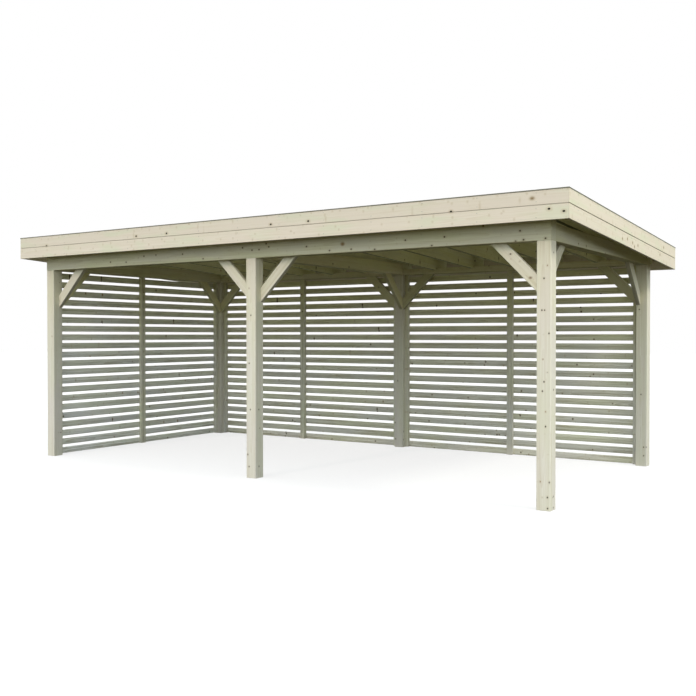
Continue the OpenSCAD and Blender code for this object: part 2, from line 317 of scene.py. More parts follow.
def mineralFelt(name, look):
    material, tree = newMaterial(name)
    where = addNode(tree, "ShaderNodeTexCoord", out="Object")
    grains = addNode(tree, "ShaderNodeTexVoronoi", {
        "Vector": where, "Scale": 1 / look["grain"]}).node.outputs
    draw = addNode(tree, "ShaderNodeSeparateColor", {0: grains["Color"]})
    cloud = addNode(tree, "ShaderNodeTexNoise", {
        "Vector": where, "Scale": 1 / look["cloud"], "Detail": look["cloudDetail"]})
    isPale = addNode(tree, "ShaderNodeMapRange", {
        "Value": draw, "From Min": look["paleFrom"], "From Max": 1.0})
    gritty = addNode(tree, "ShaderNodeMix", {
        0: isPale, 6: toLinear(look["bitumen"]), 7: toLinear(look["paleGrain"])}, 2, data_type="RGBA")
    shade = addNode(tree, "ShaderNodeMapRange", {
        "Value": cloud, "From Min": look["cloudLow"], "From Max": look["cloudHigh"],
        "To Max": look["cloudShare"]})
    colour = addNode(tree, "ShaderNodeMix", {
        0: shade, 6: gritty, 7: toLinear(look["darkGrain"])}, 2, data_type="RGBA")
    fromLap = addNode(tree, "ShaderNodeAttribute", out="Fac", attribute_name="fromLap")
    wavy = addNode(tree, "ShaderNodeMath", {0: draw, 1: look["bleedReach"]}, operation="MULTIPLY")
    bled = addNode(tree, "ShaderNodeMath", {0: fromLap, 1: wavy}, operation="LESS_THAN")
    colour = addNode(tree, "ShaderNodeMix", {
        0: bled, 6: colour, 7: toLinear(look["bleed"])}, 2, data_type="RGBA")
    bump = addNode(tree, "ShaderNodeBump", {
        "Strength": look["relief"], "Distance": look["reliefShare"] * look["grain"],
        "Height": grains["Distance"]})
    roughness = addNode(tree, "ShaderNodeMapRange", {
        "Value": draw, "To Min": look["roughDark"], "To Max": look["roughPale"]})
    shader = addNode(tree, "ShaderNodeBsdfPrincipled", {
        "Base Color": colour, "Roughness": roughness, "Normal": bump, "Specular IOR Level": look["sheen"]})
    addNode(tree, "ShaderNodeOutputMaterial", {0: shader})
    return material


# Coated aluminium sheet: an even grey satin skin, a little dusty, paler where the folds rub
trimLook = {
    "coat": "#6A685A",
    "dust": "#7D7B6C",
    "rubbed": "#8E8C7E",
    "dustRun": 160 * mm,
    "dustDetail": 5.0,
    "dustLow": 0.4,
    "dustHigh": 0.7,
    "dustShare": 0.7,
    "peelRun": 3 * mm,  # the coat's fine ripple
    "peelDetail": 1.0,
    "peelRelief": 0.1,
    "peelDepth": 0.1 * mm,
    "roughCoat": 0.4,
    "roughDust": 0.7,
    "sheen": 0.2,
}


def coatedSheet(name, look):
    material, tree = newMaterial(name)
    where = addNode(tree, "ShaderNodeTexCoord", out="Object")
    dust = addNode(tree, "ShaderNodeTexNoise", {
        "Vector": where, "Scale": 1 / look["dustRun"], "Detail": look["dustDetail"]})
    peel = addNode(tree, "ShaderNodeTexNoise", {
        "Vector": where, "Scale": 1 / look["peelRun"], "Detail": look["peelDetail"]})
    dusty = addNode(tree, "ShaderNodeMapRange", {
        "Value": dust, "From Min": look["dustLow"], "From Max": look["dustHigh"],
        "To Max": look["dustShare"]})
    colour = addNode(tree, "ShaderNodeMix", {
        0: dusty, 6: toLinear(look["coat"]), 7: toLinear(look["dust"])}, 2, data_type="RGBA")
    arris = addNode(tree, "ShaderNodeAttribute", out="Fac", attribute_name="arris")
    worn = addNode(tree, "ShaderNodeMath", {0: arris, 1: dust}, operation="MULTIPLY")
    colour = addNode(tree, "ShaderNodeMix", {
        0: worn, 6: colour, 7: toLinear(look["rubbed"])}, 2, data_type="RGBA")
    roughness = addNode(tree, "ShaderNodeMapRange", {
        "Value": dust, "To Min": look["roughCoat"], "To Max": look["roughDust"]})
    bump = addNode(tree, "ShaderNodeBump", {
        "Strength": look["peelRelief"], "Distance": look["peelDepth"], "Height": peel})
    shader = addNode(tree, "ShaderNodeBsdfPrincipled", {
        "Base Color": colour, "Roughness": roughness, "Normal": bump, "Specular IOR Level": look["sheen"]})
    addNode(tree, "ShaderNodeOutputMaterial", {0: shader})
    return material


# Zinc-plated steel: dull silver with a cloudy, slightly yellow plating
zincLook = {"bright": "#B8B7B0", "cloudy": "#8F8D84", "cloud": 2 * mm, "cloudDetail": 2.0,
            "roughBright": 0.3, "roughCloudy": 0.55}


def zincPlate(name, look):
    material, tree = newMaterial(name)
    where = addNode(tree, "ShaderNodeTexCoord", out="Object")
    cloud = addNode(tree, "ShaderNodeTexNoise", {
        "Vector": where, "Scale": 1 / look["cloud"], "Detail": look["cloudDetail"]})
    colour = addNode(tree, "ShaderNodeMix", {
        0: cloud, 6: toLinear(look["bright"]), 7: toLinear(look["cloudy"])}, 2, data_type="RGBA")
    roughness = addNode(tree, "ShaderNodeMapRange", {
        "Value": cloud, "To Min": look["roughBright"], "To Max": look["roughCloudy"]})
    shader = addNode(tree, "ShaderNodeBsdfPrincipled", {
        "Base Color": colour, "Roughness": roughness, "Metallic": 1.0})
    addNode(tree, "ShaderNodeOutputMaterial", {0: shader})
    return material


# The rafters stand in even steps to each side of the middle one
rafterRow = {"pitch": 0.5, "eachSide": 6, "halfThick": 0.0225}
rafterSteps = range(-rafterRow["eachSide"], rafterRow["eachSide"] + 1)
rafterPlaces = [step * rafterRow["pitch"] for step in rafterSteps]

# Knots that the photo shows: places along and up each face
frontFascia = {
    "face": -1.713,
    "pins": [(-2.802, 2.414), (-1.372, 2.435), (-0.936, 2.437), (0.403, 2.437), (0.832, 2.437),
             (2.269, 2.414), (3.104, 2.372), (3.222, 2.346)],
    "browns": [(2.968, 2.463)],
}
rightFascia = {
    "face": 3.262,
    "greys": [(-0.290, 2.264), (-0.13, 2.276), (0.041, 2.256), (0.10, 2.224), (0.22, 2.246),
              (1.202, 2.309), (1.05, 2.223)],
}
frontFaces = {
    "face": -1.515,
    "beamPins": [(-1.978, 2.206), (-1.734, 2.195), (-1.463, 2.246), (-0.904, 2.240), (-0.621, 2.179),
                 (-0.103, 2.262), (0.016, 2.233), (0.104, 2.234), (0.192, 2.286), (0.224, 2.254),
                 (0.671, 2.232), (0.931, 2.181), (1.168, 2.181), (1.418, 2.166), (1.730, 2.229),
                 (1.989, 2.168), (2.110, 2.235), (2.751, 2.160), (2.789, 2.243), (2.819, 2.169),
                 (3.003, 2.170)],
    "beamBrowns": [(1.075, 2.233)],
    "postPins": [(2.992, 1.853), (2.975, 1.60), (3.034, 1.415), (2.981, 0.955), (3.008, 0.674),
                 (3.041, 0.231), (3.025, 0.110), (3.027, 0.022), (2.994, 1.03), (0.001, 1.597),
                 (-0.022, 1.127), (-0.007, 0.673), (-0.040, 0.230), (-0.024, 0.112)],
    "postBrowns": [(3.020, 1.954), (2.985, 1.209), (3.008, 0.792), (2.966, 0.231), (-0.022, 1.862),
                   (-2.963, 1.391)],
}
rearFaces = {
    "face": 1.395,
    "postPins": [(-0.049, 0.305), (-0.039, 0.101), (-0.011, 0.831), (-2.913, 0.114), (-2.914, 0.009),
                 (2.965, 1.679), (2.987, 0.768), (3.017, 0.204), (3.046, 0.206), (3.018, 0.113)],
}
rightFaces = {
    "face": 3.05,
    "beamPins": [(-0.855, 2.181), (-0.091, 2.159)],
    "postPins": [(-1.451, 0.111), (-1.448, 0.021), (-1.455, 2.06), (-1.45, 0.965)],
}
middleFaces = {
    "face": 0.06,
    "beamPins": [(-0.166, 2.189), (0.16, 2.174)],
    "postPins": [(-1.466, 0.673), (-1.465, 0.115), (1.414, 0.197), (1.414, 0.096), (1.487, 1.022)],
}
braceFaces = {"face": -1.44, "pins": [(2.676, 2.067)], "browns": [(2.849, 1.866)]}
rafterMarks = {  # one dark tick on the right face of each rafter
    "faces": [place + rafterRow["halfThick"] for place in rafterPlaces],
    "pins": [(0.99, 2.265)],
}
leftSlats = {"face": -3.031, "pins": [(-0.587, 0.418), (0.095, 0.465), (0.229, 0.319), (0.427, 0.021)]}
rearSlats = {
    "face": 1.496,
    "pins": [(-2.128, 0.423), (-1.430, 0.461), (-1.281, 0.322), (-1.687, 0.222), (-1.076, 0.021),
             (-0.400, 0.039), (0.869, 0.419), (1.577, 0.465), (1.708, 0.316), (1.132, 0.215),
             (1.314, 0.226), (1.394, 0.212), (0.925, 0.112), (1.586, 0.036), (2.252, 1.07),
             (2.444, 1.358), (2.44, 0.968), (1.695, 1.235), (1.574, 0.474)],
}


def acrossFace(faces, part):  # places on a front or rear face
    return [(x, faces["face"], z) for x, z in faces[part]]


def alongFace(faces, part):  # places on an end face, or on several
    return [(x, y, z) for x in faces.get("faces", [faces.get("face")]) for y, z in faces[part]]


# Fascia: planed smooth, soft pinkish and greenish lengths, hardly any streaks; its arrises painted dark, as
# painted shade in the joints between the boards
fasciaSpruce = planedSpruce(
    "fascia_spruce_planed",
    dict(treatedLook, earlywood="#DDD3C2", latewood="#CDBFA6", greenLength="#D3D2B9", greyLength="#DBCFBF",
         pinKnot="#1E1A15", brownKnot="#86704F", arrisWearAndShade="#8A7C62"),
    dict(spruceFigure, streakShare=0.35, lengthRun=450 * mm, knotShare=0.012, brownShare=0.8,
         pinRadius=8 * mm, pinEdge=1 * mm, brownRadius=10 * mm, haloReach=20 * mm, paintedShadeTint=(1, 1, 1),
         knotDraw=(0.7, 1, 1)),
    acrossFace(frontFascia, "pins"),
    acrossFace(frontFascia, "browns") + alongFace(rightFascia, "greys"))
# Posts: pinkish beige, knots smeared down the grain
postSpruce = planedSpruce(
    "post_spruce_planed",
    dict(treatedLook, earlywood="#E0DCCE", latewood="#CDC4AF", greenLength="#D7D4BF", greyLength="#DBD4CB"),
    dict(spruceFigure, knotShare=0.06, knotMost=6 * mm, pinRadius=5.5 * mm, brownRadius=4 * mm,
         brownEdge=3 * mm, haloShare=0.25, knotDraw=(1, 1, 0.8)),
    acrossFace(frontFaces, "postPins") + acrossFace(rearFaces, "postPins")
    + alongFace(rightFaces, "postPins") + alongFace(middleFaces, "postPins"),
    acrossFace(frontFaces, "postBrowns"))
# Braces: yellower, with one brown knot; those inside painted yellower still, as painted shade for the light
# bounced there
braceLook = dict(treatedLook, earlywood="#E2DCC8", latewood="#CFC5A8", greenLength="#D8D4B8",
                 greyLength="#DCD4C2", brownKnot="#7D6350")
braceFigure = dict(spruceFigure, knotShare=0.08, pinRadius=5 * mm, brownRadius=7 * mm, brownEdge=6 * mm,
                   paintedShadeTint=(1, 1, 1), knotDraw=(0.7, 1, 1))
braceSpruce = planedSpruce(
    "brace_spruce_planed", braceLook, braceFigure,
    acrossFace(braceFaces, "pins"),
    acrossFace(braceFaces, "browns"))
shadeBraceSpruce = planedSpruce(
    "brace_spruce_painted_shade",
    dict(braceLook, earlywood="#E2DCB4", latewood="#CFC598", greenLength="#D8D4A6", greyLength="#DCD4AF"),
    braceFigure)
# Beams: greyer and yellower, partly painted shade for the yellow light bounced under the eaves, with many pin
# knots
beamSpruce = planedSpruce(
    "beam_spruce_planed",
    dict(treatedLook, earlywood="#E1DCC1", latewood="#CBC2A0", greenLength="#D6D3AE", greyLength="#D8D2BD",
         pinKnot="#544A39", arrisWearAndShade="#CBC29B"),
    dict(spruceFigure, knotShare=0.12, pinRadius=6.5 * mm, brownRadius=14 * mm, paintedShadeTint=(1, 1, 1),
         knotDraw=(0.8, 1, 1), sheen=0.0, paintedUnderShade=0.3),
    acrossFace(frontFaces, "beamPins") + alongFace(rightFaces, "beamPins")
    + alongFace(middleFaces, "beamPins"),
    acrossFace(frontFaces, "beamBrowns"))
# Slats and stiles: green and grey lengths that run far, and a stronger painted yellow shade near the roof
slatLook = dict(treatedLook, earlywood="#E4E1D1", latewood="#ADA58A", greenLength="#D2D3B2",
                greyLength="#D5D2CE")
slatFigure = dict(spruceFigure, ringShare=0.6, streakShare=0.85, fibreShare=0.55, lateBase=-0.5,
                  lengthRun=800 * mm, lengthWidth=300 * mm, lengthShare=0.5, paintedShadeTint=(0.98, 0.97, 0.74))
slatSpruce = planedSpruce("slat_spruce_planed", slatLook, slatFigure, acrossFace(rearSlats, "pins"))
# Left screen: the same slats in a greyer copy, painted for the bluer light that falls on this screen
greySlatSpruce = planedSpruce(
    "grey_slat_spruce_planed",
    dict(slatLook, earlywood="#E3E2DA", latewood="#ACA694", greenLength="#D1D4BF", greyLength="#D3D3D7"),
    slatFigure, alongFace(leftSlats, "pins"))
# Roof timber: the same spruce, yellower and paler: partly its own colour, partly painted light for the yellow
# light bounced under the roof; the boards show only their undersides
roofLook = dict(treatedLook, earlywood="#F2F0D5", latewood="#E0DDB6", greenLength="#E9E7C0",
                greyLength="#E7E4CF", pinKnot="#2A2418", arrisWearAndShade="#DCD6B4")
roofFigure = dict(spruceFigure, pinRadius=5 * mm, paintedShadeTint=(1, 1, 1), knotDraw=(1, 1, 0.3), sheen=0.0)
rafterSpruce = planedSpruce("rafter_spruce_planed", roofLook, roofFigure, alongFace(rafterMarks, "pins"))
boardSpruce = planedSpruce("board_spruce_planed", roofLook, dict(roofFigure, paintedUnderShade=0.0))
roofFelt = mineralFelt("mineral_felt", feltLook)
trimSheet = coatedSheet("coated_sheet", trimLook)
screwZinc = zincPlate("zinc_plate", zincLook)
print("materials made:", len(bpy.data.materials))


# Copies of the CAD solids, with their arrises eased
easing = {
    "mergeGap": 0.01 * mm,
    "flatAngle": math.radians(0.5),
    "sharpAngle": math.radians(20),
    "segments": 2,
    "profile": 0.5,  # round
    "barSteps": 3,  # round each edge of a slat or roof board
}


def easedCopy(node, ease):
    shape = bmesh.new()
    shape.from_mesh(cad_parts[node].data)
    bmesh.ops.remove_doubles(shape, verts=shape.verts[:], dist=easing["mergeGap"])
    bmesh.ops.dissolve_limit(
        shape, angle_limit=easing["flatAngle"], verts=shape.verts[:], edges=shape.edges[:])
    for layer in ("arris", "cutEnd"):
        shape.faces.layers.float.new(layer)
    for layer in ("grain", "tone"):
        shape.verts.layers.float_vector.new(layer)
    sharp = [edge for edge in shape.edges if edge.calc_face_angle(0) > easing["sharpAngle"]]
    eased = bmesh.ops.bevel(shape, geom=sharp, offset=ease, segments=easing["segments"],
                            profile=easing["profile"], affect="EDGES", clamp_overlap=True)
    arris = shape.faces.layers.float["arris"]
    for face in eased["faces"]:
        face[arris] = 1.0
    return shape


def splitBoards(shape):  # the vertices of each board, in a fixed order
    boards, seen = [], set()
    for start in shape.verts:
        if start.index in seen:
            continue
        seen.add(start.index)
        board, waiting = [], [start]
        while waiting:
            vert = waiting.pop()
            board.append(vert)
            for edge in vert.link_edges:
                other = edge.other_vert(vert)
                if other.index not in seen:
                    seen.add(other.index)
                    waiting.append(other)
        boards.append(board)
    return boards


logs = {"nearest": 12 * mm, "farthest": 65 * mm, "sideShare": 0.35, "heartShare": 0.18, "logRun": 40.0,
        "endFacing": 0.9, "darkest": 0.94, "palest": 1.06}


def drawGrain(shape, dice, boxedHeart, toneAndLight):  # along, across and deep from the pith, for each board
    grain = shape.verts.layers.float_vector["grain"]
    tone = shape.verts.layers.float_vector["tone"]
    cutEnd = shape.faces.layers.float["cutEnd"]
    shape.verts.index_update()
    shape.normal_update()
    for board in splitBoards(shape):
        places = numpy.array([vert.co for vert in board])
        middle = (places.min(0) + places.max(0)) / 2
        axes = numpy.linalg.svd(places - places.mean(0), full_matrices=False)[2]
        local = (places - middle) @ axes.T
        size = local.max(0) - local.min(0)
        if boxedHeart:  # sawn with the pith inside
            pithAcross = dice.uniform(-1, 1) * logs["heartShare"] * size[1]
            pithDeep = dice.uniform(-1, 1) * logs["heartShare"] * size[2]
        else:  # sawn to one side of it
            pithAcross = dice.uniform(-1, 1) * logs["sideShare"] * size[1]
            pithDeep = dice.choice((-1, 1)) * (size[2] / 2 + dice.uniform(logs["nearest"], logs["farthest"]))
        start = dice.uniform(0, logs["logRun"])
        # a set brightness paints light or shade into the piece; without one its tone is random
        draws = (toneAndLight or dice.uniform(logs["darkest"], logs["palest"]), dice.random(), dice.random())
        for vert, (along, across, deep) in zip(board, local):
            vert[grain] = (along + start, across - pithAcross, deep - pithDeep)
            vert[tone] = draws
        for face in {face for vert in board for face in vert.link_faces}:
            face[cutEnd] = float(abs(numpy.dot(face.normal, axes[0])) > logs["endFacing"])


def keepShape(shape, name, material, slotName, node):  # a finished shape as a piece in its node's place
    mesh = bpy.data.meshes.new(name)
    shape.to_mesh(mesh)
    shape.free()
    mesh.materials.append(material)
    seat(addPiece(name, mesh), slotName, node)
    return mesh


def dressTimber(node, timber):
    shape = easedCopy(node, timber.get("eases", {}).get(node, timber["ease"]))
    drawGrain(shape, random.Random(node), timber["boxedHeart"], timber.get("levels", {}).get(node))
    material = timber.get("materials", {}).get(node, timber["material"])
    keepShape(shape, node + "_timber", material, timber["slot"], node)


# Some pieces get a set brightness in place of a random tone: paler where too little light reaches them,
# darker where too much, as painted light and shade
corners = [end + "_" + side for end in ("front", "rear") for side in ("left", "middle", "right")]
sides = ("front", "rear", "left", "right")
posts = {"ease": 1.5 * mm, "boxedHeart": True, "material": postSpruce, "slot": "treated_spruce",
         "nodes": ["post_" + corner for corner in corners],
         "levels": {"post_front_left": 1.0, "post_front_middle": 1.04, "post_front_right": 1.05,
                    "post_rear_left": 0.96, "post_rear_right": 1.0}}
beams = {"ease": 4 * mm, "boxedHeart": True, "material": beamSpruce, "slot": "treated_spruce",
         "nodes": [place + "_beam" for place in (*sides, "middle")],
         "levels": {"front_beam": 0.98, "rear_beam": 1.1, "right_beam": 0.83, "middle_beam": 1.18}}
braces = {"ease": 3 * mm, "boxedHeart": False, "material": braceSpruce, "slot": "treated_spruce",
          "nodes": [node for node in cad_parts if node.startswith("brace_")],
          "levels": {"brace_front_left": 1.0, "brace_front_middle_left": 1.05,
                     "brace_front_middle_right": 1.0, "brace_front_right": 1.06,
                     "brace_right_front": 0.84, "brace_right_rear": 0.85,
                     "brace_rear_left": 0.95, "brace_rear_middle_left": 0.93, "brace_rear_middle_right": 0.8,
                     "brace_rear_right": 0.8, "brace_left_front": 1.05, "brace_left_rear": 1.04}}
# braces inside the carport take the copy with painted shade
braces["materials"] = {node: shadeBraceSpruce for node in braces["nodes"]
                       if node.startswith(("brace_rear", "brace_left", "brace_middle"))}
fascia = {"ease": 1.2 * mm, "boxedHeart": False, "material": fasciaSpruce, "slot": "treated_spruce",
          "nodes": [side + "_fascia_" + row for side in sides for row in ("upper", "lower")],
          "levels": {"right_fascia_upper": 1.05, "right_fascia_lower": 1.03},
          "eases": {"right_fascia_upper": 2.5 * mm, "right_fascia_lower": 2.5 * mm}}
stiles = {"ease": 2 * mm, "boxedHeart": False, "material": slatSpruce, "slot": "treated_spruce",
          "nodes": [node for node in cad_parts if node.endswith("_stiles")]}
rafters = {"ease": 2 * mm, "boxedHeart": False, "material": rafterSpruce, "slot": "roof_timber",
           "nodes": ["rafters", "left_verge_rafter", "right_verge_rafter"]}
for timber in (posts, beams, braces, fascia, stiles, rafters):
    for node in sorted(timber["nodes"]):
        dressTimber(node, timber)
print("timbers dressed")


# Folded edge trims: the CAD sheets with rounded folds
trims = {"ease": 0.6 * mm, "nodes": [side + "_edge_trim" for side in sides]}
for node in trims["nodes"]:
    keepShape(easedCopy(node, trims["ease"]), node + "_sheet", trimSheet, "edge_trim", node)
print("edge trims dressed")


def newTree(name, inputs):  # an empty geometry tree with named inputs
    tree = bpy.data.node_groups.new(name, "GeometryNodeTree")
    tree.interface.new_socket("Geometry", in_out="INPUT", socket_type="NodeSocketGeometry")
    for label, kind in inputs.items():
        tree.interface.new_socket(label, in_out="INPUT", socket_type="NodeSocket" + kind)
    tree.interface.new_socket("Geometry", in_out="OUTPUT", socket_type="NodeSocketGeometry")
    return tree, addNode(tree, "NodeGroupInput").node.outputs


def growPiece(name, tree, sizes, startMesh=None):  # sets a tree's inputs by name, keeps a plain mesh
    piece = addPiece(name, startMesh or bpy.data.meshes.new(name + "_start"))
    modifier = piece.modifiers.new("grow", "NODES")
    modifier.node_group = tree
    for socket in tree.interface.items_tree:
        if socket.in_out == "INPUT" and socket.name in sizes:
            modifier[socket.identifier] = sizes[socket.name]
    graph = bpy.context.evaluated_depsgraph_get()
    grown = bpy.data.meshes.new_from_object(
        piece.evaluated_get(graph), preserve_all_data_layers=True, depsgraph=graph)
    piece.modifiers.clear()
    piece.data = grown
    grown.name = name
    shape = bmesh.new()
    shape.from_mesh(grown)
    bmesh.ops.recalc_face_normals(shape, faces=shape.faces[:])
    shape.to_mesh(grown)
    shape.free()
    return piece


# Boards laid flat along X get their tone, grain and material, and then their place
def boardEnding(tree, inputs, boards, middle):
    draw = addNode(tree, "FunctionNodeRandomValue", {
        "Min": inputs["darkest"], "Max": inputs["palest"], "Seed": inputs["seed"]}, data_type="FLOAT_VECTOR")
    toned = addNode(tree, "GeometryNodeStoreNamedAttribute", {
        "Geometry": boards, "Name": "tone", "Value": draw}, data_type="FLOAT_VECTOR", domain="INSTANCE")
    centred = addNode(tree, "GeometryNodeStoreNamedAttribute", {
        "Geometry": toned, "Name": "grain", "Value": middle}, data_type="FLOAT_VECTOR", domain="INSTANCE")
    solid = addNode(tree, "GeometryNodeRealizeInstances", {"Geometry": centred})
    centre = addNode(tree, "GeometryNodeInputNamedAttribute", {"Name": "grain"}, data_type="FLOAT_VECTOR")
    shift = addNode(tree, "GeometryNodeInputNamedAttribute", {"Name": "tone"}, data_type="FLOAT_VECTOR")
    place = addNode(tree, "GeometryNodeInputPosition")
    local = addNode(tree, "ShaderNodeVectorMath", {0: place, 1: centre}, operation="SUBTRACT")
    fromPith = addNode(tree, "ShaderNodeVectorMath", {
        0: shift, 1: inputs["pithReach"], 2: local}, operation="MULTIPLY_ADD")
    grained = addNode(tree, "GeometryNodeStoreNamedAttribute", {
        "Geometry": solid, "Name": "grain", "Value": fromPith}, data_type="FLOAT_VECTOR", domain="POINT")
    laid = addNode(tree, "GeometryNodeTransform", {
        "Geometry": grained, "Translation": inputs["place"], "Rotation": inputs["turn"]})
    covered = addNode(tree, "GeometryNodeSetMaterial", {"Geometry": laid, "Material": inputs["material"]})
    addNode(tree, "NodeGroupOutput", {0: covered})


boardInputs = {"boardLength": "Float", "boardWidth": "Float", "boardThick": "Float", "edgeRound": "Float",
               "rows": "Int", "pitch": "Float", "seed": "Int", "pithReach": "Vector", "darkest": "Vector",
               "palest": "Vector", "place": "Vector", "turn": "Rotation", "material": "Material"}


def roundedBar(tree, inputs, length):  # a bar along X with rounded edges, centred
    edge = addNode(tree, "GeometryNodeCurvePrimitiveQuadrilateral", {
        "Width": inputs["boardWidth"], "Height": inputs["boardThick"]})
    rounded = addNode(tree, "GeometryNodeFilletCurve", {
        "Curve": edge, "Count": easing["barSteps"], "Radius": inputs["edgeRound"]}, mode="POLY")
    ends = {}
    for end, half in (("Start", -0.5), ("End", 0.5)):
        x = addNode(tree, "ShaderNodeMath", {0: length, 1: half}, operation="MULTIPLY")
        ends[end] = addNode(tree, "ShaderNodeCombineXYZ", {0: x})
    run = addNode(tree, "GeometryNodeCurvePrimitiveLine", ends)
    return addNode(tree, "GeometryNodeCurveToMesh", {
        "Curve": run, "Profile Curve": rounded, "Fill Caps": True})


def slatTree():
    tree, inputs = newTree("slat_rows", boardInputs)
    slat = roundedBar(tree, inputs, inputs["boardLength"])
    step = addNode(tree, "ShaderNodeCombineXYZ", {1: inputs["pitch"]})
    rows = addNode(tree, "GeometryNodeMeshLine", {"Count": inputs["rows"], "Offset": step})
    boards = addNode(tree, "GeometryNodeInstanceOnPoints", {"Points": rows, "Instance": slat})
    boardEnding(tree, inputs, boards, addNode(tree, "GeometryNodeInputPosition"))
    return tree


# Slats of the three screens, one over the other from the ground
screens = {
    "nodes": ["left_screen_slats", "rear_left_screen_slats", "rear_right_screen_slats"],
    "height": 70 * mm, "pitch": 103 * mm, "edgeRound": 2.5 * mm, "pithReach": (40.0, 0.09, 0.07),
    # each screen's set brightness is painted light, most of all for the left screen
    "levels": {"left_screen_slats": 1.16, "rear_left_screen_slats": 1.07, "rear_right_screen_slats": 1.06},
    "materials": {"left_screen_slats": greySlatSpruce},
}


def screenLayout(node):  # the corners of its box, the axis that the slats follow and the number of rows
    low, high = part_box(node)
    size = high - low
    rows = round((size.z - screens["height"]) / screens["pitch"]) + 1
    return low, high, 0 if size.x > size.y else 1, rows


slatRows = slatTree()
for number, node in enumerate(screens["nodes"]):
    low, high, lengthwise, rows = screenLayout(node)
    size = high - low
    middle = (low + high) / 2
    middle.z = low.z + screens["height"] / 2
    upright = Euler((math.pi / 2, 0, 0 if lengthwise == 0 else math.pi / 2))
    toneAndLight = screens["levels"][node]
    piece = growPiece(node + "_rounded", slatRows, dict(
        screens, boardLength=size[lengthwise], boardWidth=screens["height"], boardThick=size[1 - lengthwise],
        rows=rows, seed=number + 1, darkest=(logs["darkest"] * toneAndLight, 0, 0),
        palest=(logs["palest"] * toneAndLight, 1, 1), place=middle, turn=upright,
        material=screens["materials"].get(node, slatSpruce)))
    seat(piece, "treated_spruce", node)
    print(node, "rows", rows, "faces", len(piece.data.polygons))


# Roof boards across the rafters: two lengths to a row, whose ends meet over a rafter, left and right by turns
def roofBoardTree():
    inputs = dict(boardInputs, evenEnd="Float", oddEnd="Float")
    tree, inputs = newTree("roof_board_rows", inputs)
    number = addNode(tree, "GeometryNodeInputIndex")
    row = addNode(tree, "ShaderNodeMath", {0: number, 1: 2.0}, operation="DIVIDE")
    rowNumber = addNode(tree, "ShaderNodeMath", {0: row}, operation="FLOOR")
    isOdd = addNode(tree, "ShaderNodeMath", {0: rowNumber, 1: 2.0}, operation="MODULO")
    isRight = addNode(tree, "ShaderNodeMath", {0: number, 1: 2.0}, operation="MODULO")
    joint = addNode(tree, "ShaderNodeMix", {0: isOdd, 2: inputs["evenEnd"], 3: inputs["oddEnd"]})
    half = addNode(tree, "ShaderNodeMath", {0: inputs["boardLength"], 1: 0.5}, operation="MULTIPLY")
    minus = addNode(tree, "ShaderNodeMath", {0: half, 1: -1.0}, operation="MULTIPLY")
    left = addNode(tree, "ShaderNodeMix", {0: isRight, 2: minus, 3: joint})
    right = addNode(tree, "ShaderNodeMix", {0: isRight, 2: joint, 3: half})
    total = addNode(tree, "ShaderNodeMath", {0: left, 1: right}, operation="ADD")
    centreX = addNode(tree, "ShaderNodeMath", {0: total, 1: 0.5}, operation="MULTIPLY")
    length = addNode(tree, "ShaderNodeMath", {0: right, 1: left}, operation="SUBTRACT")
    centreY = addNode(tree, "ShaderNodeMath", {0: rowNumber, 1: inputs["pitch"]}, operation="MULTIPLY")
    middle = addNode(tree, "ShaderNodeCombineXYZ", {0: centreX, 1: centreY})
    points = addNode(tree, "GeometryNodePoints", {"Count": inputs["rows"], "Position": middle})
    unitBar = roundedBar(tree, inputs, 1.0)
    stretch = addNode(tree, "ShaderNodeCombineXYZ", {0: length, 1: 1.0, 2: 1.0})
    boards = addNode(tree, "GeometryNodeInstanceOnPoints", {
        "Points": points, "Instance": unitBar, "Scale": stretch})
    boardEnding(tree, inputs, boards, addNode(tree, "GeometryNodeInputPosition"))
    return tree


roofDeck = {
    "node": "roof_boards",
    "rows": 29,
    "thick": 18 * mm,
    "edgeRound": 3 * mm,
    "slope": math.atan(150 / 2910),  # the drop from the front posts to the rear ones, over their distance
    "evenEnd": 0.5,
    "oddEnd": -0.5,
    "pithReach": (40.0, 0.08, 0.06),
    "seed": 11,
}
low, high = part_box(roofDeck["node"])
middle = (low + high) / 2
deckDepth = (high.y - low.y) / math.cos(roofDeck["slope"])
deckPitch = deckDepth / roofDeck["rows"]
slopeWay = Vector((0, math.cos(roofDeck["slope"]), -math.sin(roofDeck["slope"])))
firstRow = middle - slopeWay * (deckDepth - deckPitch) / 2
deck = growPiece("roof_boards_laid", roofBoardTree(), dict(
    roofDeck, boardLength=high.x - low.x, boardWidth=deckPitch, boardThick=roofDeck["thick"],
    rows=2 * roofDeck["rows"], pitch=deckPitch, darkest=(logs["darkest"], 0, 0),
    palest=(logs["palest"], 1, 1), place=firstRow, turn=Euler((-roofDeck["slope"], 0, 0)),
    material=boardSpruce))
seat(deck, "roof_timber", roofDeck["node"])
print("roof boards laid, faces", len(deck.data.polygons))


# Felt in sheets along the roof, each lapped over the next one down
felt = {
    "node": "roof_covering",
    "sheet": 1.0,
    "lap": 0.12,
    "thick": 2 * mm,
    "thickShare": 0.98,  # a little thinner, so that lapped sheets stay apart
    "alongCells": 120,
    "acrossCells": 10,
    "ripple": 0.25 * mm,
    "rippleRun": 0.4,
    "rippleSlant": 3,  # radians per metre down the roof
}
low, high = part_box(felt["node"])
fall = math.tan(roofDeck["slope"])
feltTop = high.z + fall * low.y  # height of the top face over the middle of the plan
coverThick = 2 * felt["thick"] * math.sqrt(1 + fall ** 2)


def feltHeight(x, y, lift):  # rises over the sheet below at the lower edge
    wave = math.sin(x / felt["rippleRun"] * 2 * math.pi + felt["rippleSlant"] * y)
    ripple = felt["ripple"] * wave * (1 - lift)
    return feltTop - fall * y - coverThick / 2 * (1 - lift) - abs(ripple)


